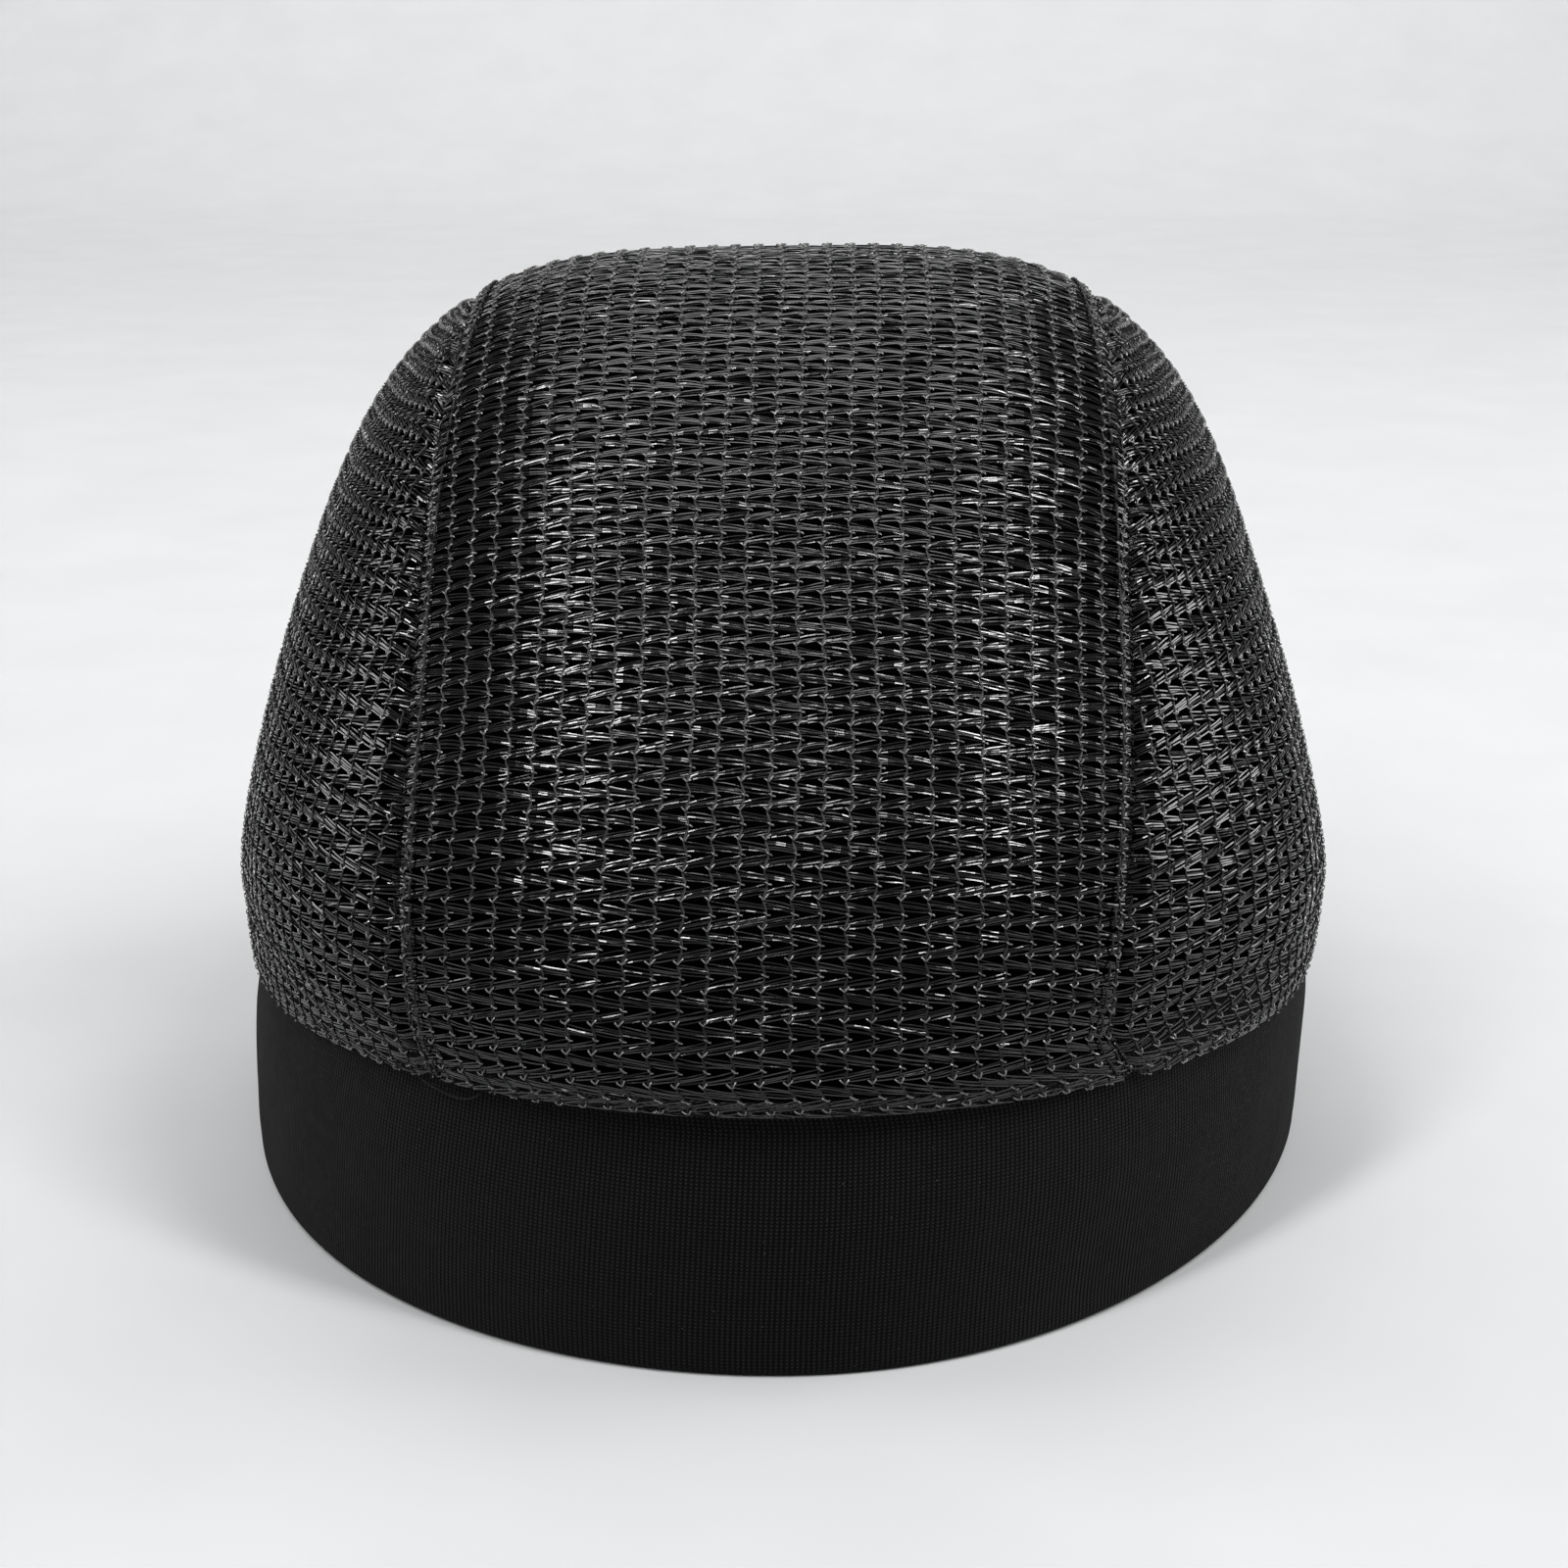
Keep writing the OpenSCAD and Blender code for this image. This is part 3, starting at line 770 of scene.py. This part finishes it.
def rim_binding():
    """Knitted tape inside, over the raw edges where crown and band meet."""
    face, thick, reach_down, reach_up, flare = -BAND_THICK - 0.15, 0.7, 5, 3, 0.4
    across_tape = np.linspace(-1, 1, 17)
    height = np.linspace(BAND_HEIGHT - reach_down, BAND_HEIGHT + reach_up, len(across_tape))
    outer = (face - lean(np.minimum(height, BAND_HEIGHT))
             + flare * smooth(height, BAND_HEIGHT, BAND_HEIGHT + reach_up))
    thinning = 0.3 * np.abs(across_tape) ** 8 + 0.1 * np.cos(across_tape * 12)
    inner = outer - thick + thinning
    section = np.concatenate([np.stack([outer, height], -1), np.stack([inner, height], -1)[::-1]])
    return band_sweep("rim_binding_tape", section)


# ---- threads and label ----

def stitch_row(path, normals, length, gap, lift=0.12, seed=3):
    """Short bars along a path, each one dipping into the cloth at both ends: lines and normals."""
    dip = 0.4
    rng = np.random.default_rng(seed)
    run = run_along(path)
    count = int(run[-1] / (length + gap))
    start = np.arange(count) * run[-1] / count + rng.normal(0, 0.06, count)
    s = np.linspace(0, 1, 7)
    at = start[:, None] + length * s + rng.normal(0, 0.05, (count, 1)) * s
    lines, n = (np.stack([np.interp(at, run, values[:, c]) for c in range(3)], -1)
                for values in (path, normals))
    n /= np.linalg.norm(n, axis=-1, keepdims=True)
    arch = lift + THREAD / 2 - dip * np.abs(2 * s - 1) ** 5
    return lines + arch[None, :, None] * n, n


def sew(name, *rows):
    """One piece of thread from rows of lines and normals, each row with its diameter."""
    bundle = Bundle()
    for lines, normals, diameter in rows:
        bundle.add(tubes(lines, normals, diameter, 6))
    return bundle.link(name)


def seam_u(chart):
    """The u of the left seam at each v of the chart."""
    ratio = chart.table[:, len(chart.u) // 2:, RATIO]
    u = chart.u[len(chart.u) // 2:]
    return np.array([np.interp(1, row, u) for row in ratio])


def topstitch(chart, name, side):
    """Row of stitches on the centre panel beside one crown seam."""
    stitch, gap, raised, end_gap = 2.7, 0.75, 0.22, 0.6
    v = chart.v
    u = side * (seam_u(chart) - TOPSTITCH_INSET)
    low, high = chart.edges_at(u)
    keep = (v > low + end_gap) & (v < high - end_gap)
    path, n = chart.place(u[keep], v[keep], np.full(keep.sum(), raised))
    return sew(name, (*stitch_row(path, n, stitch, gap, seed=5 + side), THREAD))


def band_point(az, height, out):
    """Point on the outside of the band, and its normal."""
    x, y = plan(az, out - lean(height))
    n = np.stack([np.cos(az) / BAND_HALF, np.sin(az) / BAND_FRONT, 0 * az], -1)
    return lopside(np.stack([x, y, height + 0 * az], -1)), n / np.linalg.norm(n, axis=-1, keepdims=True)


def band_join_thread():
    """Stitches under the net's edge, and one loose end that has slipped out at the front."""
    stitch, gap, below_top, fine = 2.7, 0.9, 1.2, 0.16
    az = np.linspace(0, 2 * np.pi, 800)
    path, n = band_point(az, BAND_HEIGHT - below_top + 0 * az, 0.0)
    drop = np.linspace(-1, 1, 22)
    loose_az = np.radians(np.linspace(-122.5, -114.0, len(drop)))
    height = 32.6 + 2.0 * drop ** 4 - 0.8 * drop
    loose, loose_n = band_point(loose_az, height, 1.0 - 0.5 * drop ** 2)
    return sew("band_join_stitches", (*stitch_row(path, n, stitch, gap), THREAD),
               (loose[None], loose_n[None], fine))


def band_back_thread():
    """Ladder of stitches where the ends of the headband meet."""
    lowest, highest, pitch, half_width, slant = 4, 33, 2.4, 1.3, 0.5
    s = np.linspace(-1, 1, 9)
    az = math.pi / 2 + s * half_width / BAND_BACK
    bars = [band_point(az, z + slant * s * (1 if k % 2 else -1), 0.55 - 0.7 * s ** 4)
            for k, z in enumerate(np.arange(lowest, highest, pitch))]
    lines, normals = (np.array(part) for part in zip(*bars))
    return sew("band_back_stitches", (lines, normals, THREAD))


LABEL_WIDTH, LABEL_HEIGHT, LABEL_THICK = 24.0, 15.0, 0.4
LABEL_TOP = BAND_HEIGHT - 6.5
LABEL_Y = WIDEST_Y + BAND_BACK - BAND_THICK - 2.4 - float(lean(LABEL_TOP))


def label_surface(x, z):
    """The label hangs with a slight curl at its foot."""
    fall = (LABEL_TOP - z) / LABEL_HEIGHT
    return LABEL_Y - 0.9 * fall ** 2 * np.cos(x / 9) + 0.25 * np.sin(x / 4 + 1) * fall


def care_label():
    """Blank folded label, sewn in under the binding."""
    x, z = np.meshgrid(np.linspace(-LABEL_WIDTH / 2, LABEL_WIDTH / 2, 41),
                       np.linspace(LABEL_TOP, LABEL_TOP - LABEL_HEIGHT, 27))
    y = label_surface(x, z)
    outer, inner = (np.stack([x, y + d, z], -1) for d in (LABEL_THICK / 2, -LABEL_THICK / 2))
    piece = shell("care_label_cloth", outer, inner, np.stack([x, z], -1))
    return piece


def label_thread():
    """Row of stitches along the top of the label."""
    stitch, gap, margin = 2.4, 0.8, 1.0
    x = np.linspace(-LABEL_WIDTH / 2 + margin, LABEL_WIDTH / 2 - margin, 60)
    z = np.full(len(x), LABEL_TOP - margin)
    path = np.stack([x, label_surface(x, z) - LABEL_THICK / 2, z], -1)
    normals = np.tile([0.0, -1, 0], (len(x), 1))
    return sew("care_label_stitches", (*stitch_row(path, normals, stitch, gap), THREAD))


# ---- materials ----

def new_material(name):
    material = bpy.data.materials.new(name)
    material.use_nodes = True
    tree = material.node_tree
    return material, tree, tree.nodes["Principled BSDF"]


def node(tree, kind, values=(), **settings):
    made = tree.nodes.new("ShaderNode" + kind)
    for key, value in settings.items():
        setattr(made, key, value)
    for key, value in dict(values).items():
        made.inputs[key].default_value = value
    return made


def maths(tree, operation, a, b=None, c=None):
    made = node(tree, "Math", operation=operation)
    for socket, value in zip(made.inputs, (a, b, c)):
        if value is None:
            continue
        if isinstance(value, (int, float)):
            socket.default_value = value
        else:
            tree.links.new(value, socket)
    return made.outputs[0]


def noise(tree, scale, detail=2.0):
    """Noise in object space; the scale is in features per millimetre."""
    place = node(tree, "TexCoord")
    made = node(tree, "TexNoise", {"Scale": scale / MM, "Detail": detail, "Roughness": 0.6})
    tree.links.new(place.outputs["Object"], made.inputs["Vector"])
    return made.outputs["Fac"]


def ramp(tree, value, low, high, start=0.3, end=0.7):
    """Colour that runs from low to high as a value does from start to end."""
    made = node(tree, "ValToRGB")
    made.color_ramp.elements[0].position, made.color_ramp.elements[1].position = start, end
    made.color_ramp.elements[0].color = (*low, 1)
    made.color_ramp.elements[1].color = (*high, 1)
    tree.links.new(value, made.inputs[0])
    return made.outputs[0]


def spread(tree, value, low, high):
    made = node(tree, "MapRange", {"From Min": 0.3, "From Max": 0.7, "To Min": low, "To Max": high})
    tree.links.new(value, made.inputs[0])
    return made.outputs[0]


def bump(tree, shader, height, strength, distance):
    made = node(tree, "Bump", {"Strength": strength, "Distance": distance * MM})
    tree.links.new(height, made.inputs["Height"])
    tree.links.new(made.outputs[0], shader.inputs["Normal"])


def yarn_material(name, dark, pale, smoothest, roughest, shine):
    """Black nylon yarn, a little uneven from strand to strand."""
    material, tree, shader = new_material(name)
    tree.links.new(ramp(tree, noise(tree, 0.35, 3.0), dark, pale), shader.inputs["Base Color"])
    tree.links.new(spread(tree, noise(tree, 1.6), smoothest, roughest), shader.inputs["Roughness"])
    shader.inputs["Specular IOR Level"].default_value = shine
    return material


def weave_coordinates(tree):
    made = node(tree, "UVMap", uv_map="weave")
    split = node(tree, "SeparateXYZ")
    tree.links.new(made.outputs[0], split.inputs[0])
    return split.outputs[0], split.outputs[1]


def jersey_height(tree, rib, loop):
    """Height of a fine jersey: columns of small V-shaped loops, sizes in millimetres."""
    u, v = weave_coordinates(tree)
    column = maths(tree, "FRACT", maths(tree, "DIVIDE", u, rib))
    fold = maths(tree, "ABSOLUTE", maths(tree, "SUBTRACT", column, 0.5))
    rounded = maths(tree, "SINE", maths(tree, "MULTIPLY", column, math.pi))
    phase = maths(tree, "MULTIPLY_ADD", maths(tree, "DIVIDE", v, loop), 2 * math.pi,
                  maths(tree, "MULTIPLY", fold, 7.0))
    loops = maths(tree, "MULTIPLY_ADD", maths(tree, "SINE", phase), 0.5, 0.5)
    return maths(tree, "MULTIPLY", rounded, maths(tree, "MULTIPLY_ADD", loops, 0.55, 0.45))


def jersey_material():
    """Near-black matt jersey with fine ribs, painted shade in the hollows between its loops, and a few pale
    specks of lint.
    """
    material, tree, shader = new_material("band_jersey")
    height = jersey_height(tree, 0.62, 0.5)
    # The colour follows the height of the loops and is darker in the hollows between them: painted shade.
    cloth = ramp(tree, height, (0.0001, 0.0001, 0.0001), (0.015, 0.015, 0.0152), 0.45, 0.95)
    place = node(tree, "TexCoord")
    lint = node(tree, "TexVoronoi", {"Scale": 0.5 / MM, "Randomness": 1.0})
    tree.links.new(place.outputs["Object"], lint.inputs["Vector"])
    chance = node(tree, "SeparateColor")
    tree.links.new(lint.outputs["Color"], chance.inputs[0])
    speck = maths(tree, "MULTIPLY", maths(tree, "LESS_THAN", lint.outputs["Distance"], 0.05),
                  maths(tree, "GREATER_THAN", chance.outputs[0], 0.55))
    mix = node(tree, "Mix", data_type="RGBA")
    mix.inputs["B"].default_value = (0.045, 0.045, 0.05, 1)
    tree.links.new(speck, mix.inputs["Factor"])
    tree.links.new(cloth, mix.inputs["A"])
    tree.links.new(mix.outputs["Result"], shader.inputs["Base Color"])
    tree.links.new(spread(tree, noise(tree, 0.5), 0.78, 0.92), shader.inputs["Roughness"])
    shader.inputs["Specular IOR Level"].default_value = 0.08
    shader.inputs["Sheen Weight"].default_value = 0.012
    shader.inputs["Sheen Roughness"].default_value = 0.5
    bump(tree, shader, height, 1.0, 0.3)
    return material


def knit_material(name, low, high, rib, loop, roughness=0.9, specular=0.2, depth=0.1):
    """Plain fine knit in one colour, with painted shade that darkens the hollows between its loops."""
    material, tree, shader = new_material(name)
    height = jersey_height(tree, rib, loop)
    # The colour follows the height of the loops and is darker in their hollows: painted shade.
    tree.links.new(ramp(tree, height, low, high, 0.1, 0.9), shader.inputs["Base Color"])
    tree.links.new(spread(tree, noise(tree, 0.6), roughness - 0.06, roughness + 0.05),
                   shader.inputs["Roughness"])
    shader.inputs["Specular IOR Level"].default_value = specular
    bump(tree, shader, height, 0.5, depth)
    return material


def thread_material():
    """Twisted black polyester thread, with painted shade in the grooves of its twist."""
    material, tree, shader = new_material("sewing_thread")
    place = node(tree, "TexCoord")
    twist = node(tree, "TexWave", {"Scale": 1.1 / MM, "Distortion": 0.6}, bands_direction="DIAGONAL")
    tree.links.new(place.outputs["Object"], twist.inputs["Vector"])
    # The colour follows the twist that makes the bump and is darker in its grooves: painted shade.
    tree.links.new(ramp(tree, twist.outputs["Fac"], (0.001, 0.001, 0.001), (0.006, 0.006, 0.0065), 0.2, 0.8),
                   shader.inputs["Base Color"])
    tree.links.new(spread(tree, noise(tree, 1.0), 0.5, 0.65), shader.inputs["Roughness"])
    shader.inputs["Specular IOR Level"].default_value = 0.25
    bump(tree, shader, twist.outputs["Fac"], 0.4, 0.05)
    return material


def foam_material():
    material, tree, shader = new_material("foam_core")
    cells = noise(tree, 1.8, 4.0)
    # The colour follows the bump and is darker where it is low: painted shade in the pores.
    tree.links.new(ramp(tree, cells, (0.03, 0.03, 0.032), (0.14, 0.14, 0.145)), shader.inputs["Base Color"])
    tree.links.new(spread(tree, cells, 0.85, 0.97), shader.inputs["Roughness"])
    bump(tree, shader, cells, 0.6, 0.3)
    return material


# ---- studio ----

def camera():
    distance, height, tilt = 407.0, 174.7, 0.3005
    data = bpy.data.cameras.new("camera")
    data.sensor_width, data.lens, data.shift_x = 36.0, 60.7, 0.00125
    made = bpy.data.objects.new("camera", data)
    bpy.context.collection.objects.link(made)
    made.location = (0, (WIDEST_Y - distance) * MM, height * MM)
    made.rotation_euler = (math.pi / 2 - tilt, 0, 0)
    data.clip_start, data.clip_end = 0.01, 50
    bpy.context.scene.camera = made


def floor():
    """Pale floor that sweeps up into a backdrop."""
    material, tree, shader = new_material("pale_paper")
    tree.links.new(ramp(tree, noise(tree, 0.02), (0.40, 0.403, 0.408), (0.42, 0.423, 0.426)),
                   shader.inputs["Base Color"])
    shader.inputs["Roughness"].default_value = 0.85
    shader.inputs["Specular IOR Level"].default_value = 0.2
    radius, front, back, half, top = 700.0, 4000.0, 1500.0, 5000.0, 4000.0
    angle = np.linspace(0, math.pi / 2, 24)
    y = np.concatenate([[-front, 0], back + radius * np.sin(angle), [back + radius]])
    z = np.concatenate([[0, 0], radius * (1 - np.cos(angle)), [top]])
    vertices = np.array([[x, a, b] for a, b in zip(y, z) for x in (-half, half)])
    index = np.arange(len(y) - 1) * 2
    obj = link("floor", vertices, np.stack([index, index + 1, index + 3, index + 2], -1))
    obj.data.materials.append(material)


def light(name, position, aim, size, power, size_y=None):
    """Area light of a size in metres and a power in watts, turned towards a point."""
    data = bpy.data.lights.new(name, "AREA")
    data.shape, data.size, data.energy = "RECTANGLE", size, power
    data.size_y = size_y or size
    made = bpy.data.objects.new(name, data)
    bpy.context.collection.objects.link(made)
    made.location = position
    x, y, z = np.array(aim) - np.array(position)
    made.rotation_euler = (math.atan2(math.hypot(x, y), -z), 0, math.atan2(y, x) - math.pi / 2)


def studio():
    bpy.context.scene.view_settings.view_transform = "Standard"
    world = bpy.data.worlds.new("studio")
    world.use_nodes = True
    background = world.node_tree.nodes["Background"]
    background.inputs[0].default_value = (0.90, 0.92, 0.95, 1)
    background.inputs[1].default_value = 0.22
    bpy.context.scene.world = world
    cap, rim = (0.0, 0.0, 0.08), (0.0, 0.0, 0.06)
    light("softbox_right", (1.08, -0.7, 1.85), cap, 0.26, 34.0, 1.4)
    light("softbox_left", (-0.8, -0.9, 1.85), cap, 0.24, 32.0, 1.4)
    light("softbox_front", (0.08, -1.2, 1.9), cap, 0.14, 7.0, 0.8)
    light("side_right", (1.8, 0.35, 0.8), rim, 1.0, 20.0)
    light("side_left", (-1.8, 0.35, 0.8), rim, 1.0, 14.0)
    light("overhead", (0.0, 0.45, 1.1), (0.0, 0.35, 0.0), 0.9, 7.0)
    light("backdrop_light", (0.0, 1.9, 1.1), (0.0, 1.95, 0.0), 2.5, 17.0, 0.4)


# ---- the cap ----

def dress(piece, material, slot, *nodes):
    """Gives a piece its material, hangs it from the root body and hides the CAD nodes that it stands for."""
    if material is not None:
        piece.data.materials.append(material)
    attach(piece, "root")
    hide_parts(*nodes)
    return piece


camera()
studio()
floor()

strand = yarn_material("net_strand", (0.002, 0.002, 0.002), (0.0065, 0.0065, 0.0063), 0.11, 0.2, 0.6)
chain = yarn_material("net_chain", (0.005, 0.005, 0.0055), (0.012, 0.012, 0.013), 0.35, 0.5, 0.3)
# The knots' lighter colour is a painted highlight, standing in for the glints on their loops of black yarn.
knot = yarn_material("net_knot_painted_glint", (0.05, 0.05, 0.048), (0.12, 0.12, 0.115), 0.25, 0.4, 0.9)
jersey = jersey_material()
lining_knit = knit_material("lining_knit", (0.0004, 0.0004, 0.0004), (0.0013, 0.0013, 0.0014), 0.5, 0.5,
                            specular=0.0)
tape = knit_material("tape_knit", (0.005, 0.005, 0.0055), (0.022, 0.022, 0.023), 0.8, 0.8)
satin = knit_material("label_satin", (0.55, 0.55, 0.53), (0.74, 0.74, 0.72), 0.3, 0.3, 0.5, 0.4, 0.04)
thread = thread_material()
foam = foam_material()

centre = centre_chart()
left = side_chart()

# The nets are cut along courses and wales, so that no piece has too many triangles
courses_below = 6
centre_wales = np.arange(-16, 17)
places = ["brow", "forehead", "front", "top_front", "top",
          "top_back", "back_high", "back", "back_low", "nape"]
cuts = np.linspace(-courses_below, int(centre.total / COURSE) + courses_below, len(places) + 1).astype(int)
for k, place in enumerate(places):
    piece = knit(centre, "centre_net_" + place, centre_wales, np.arange(cuts[k], cuts[k + 1]), seed=10 + k)
    dress(piece, None, "net", "centre_net")

side_courses = np.arange(-8, int(left.v[-1] / COURSE) + 1)
side_cuts = {"front": (-28, -11), "temple": (-11, 0), "ear": (0, 11), "back": (11, 29)}
for side, mirror in (("left", 1), ("right", -1)):
    for place, (first, last) in side_cuts.items():
        piece = knit(left, f"{side}_net_{place}", np.arange(first, last), side_courses, mirror, 30 + mirror)
        dress(piece, None, "net", f"{side}_net")

dress(centre_lining(), lining_knit, "lining", "centre_lining")
for side, mirror in (("left", 1), ("right", -1)):
    dress(side_lining(f"{side}_lining_cloth", mirror), lining_knit, "lining", f"{side}_lining")
    dress(seam_tape(f"{side}_seam_tape_strip", mirror), tape, "tape", f"{side}_seam_tape")
    dress(topstitch(centre, f"{side}_topstitches", mirror), thread, "thread", f"{side}_topstitch")
dress(headband_fabric(), jersey, "jersey", "headband_fabric")
dress(headband_foam(), foam, "foam", "headband_foam")
dress(rim_binding(), tape, "tape", "rim_binding")
dress(band_join_thread(), thread, "thread", "band_join_thread")
dress(band_back_thread(), thread, "thread", "band_back_thread")
dress(care_label(), satin, "label", "care_label")
dress(label_thread(), thread, "thread", "label_thread")
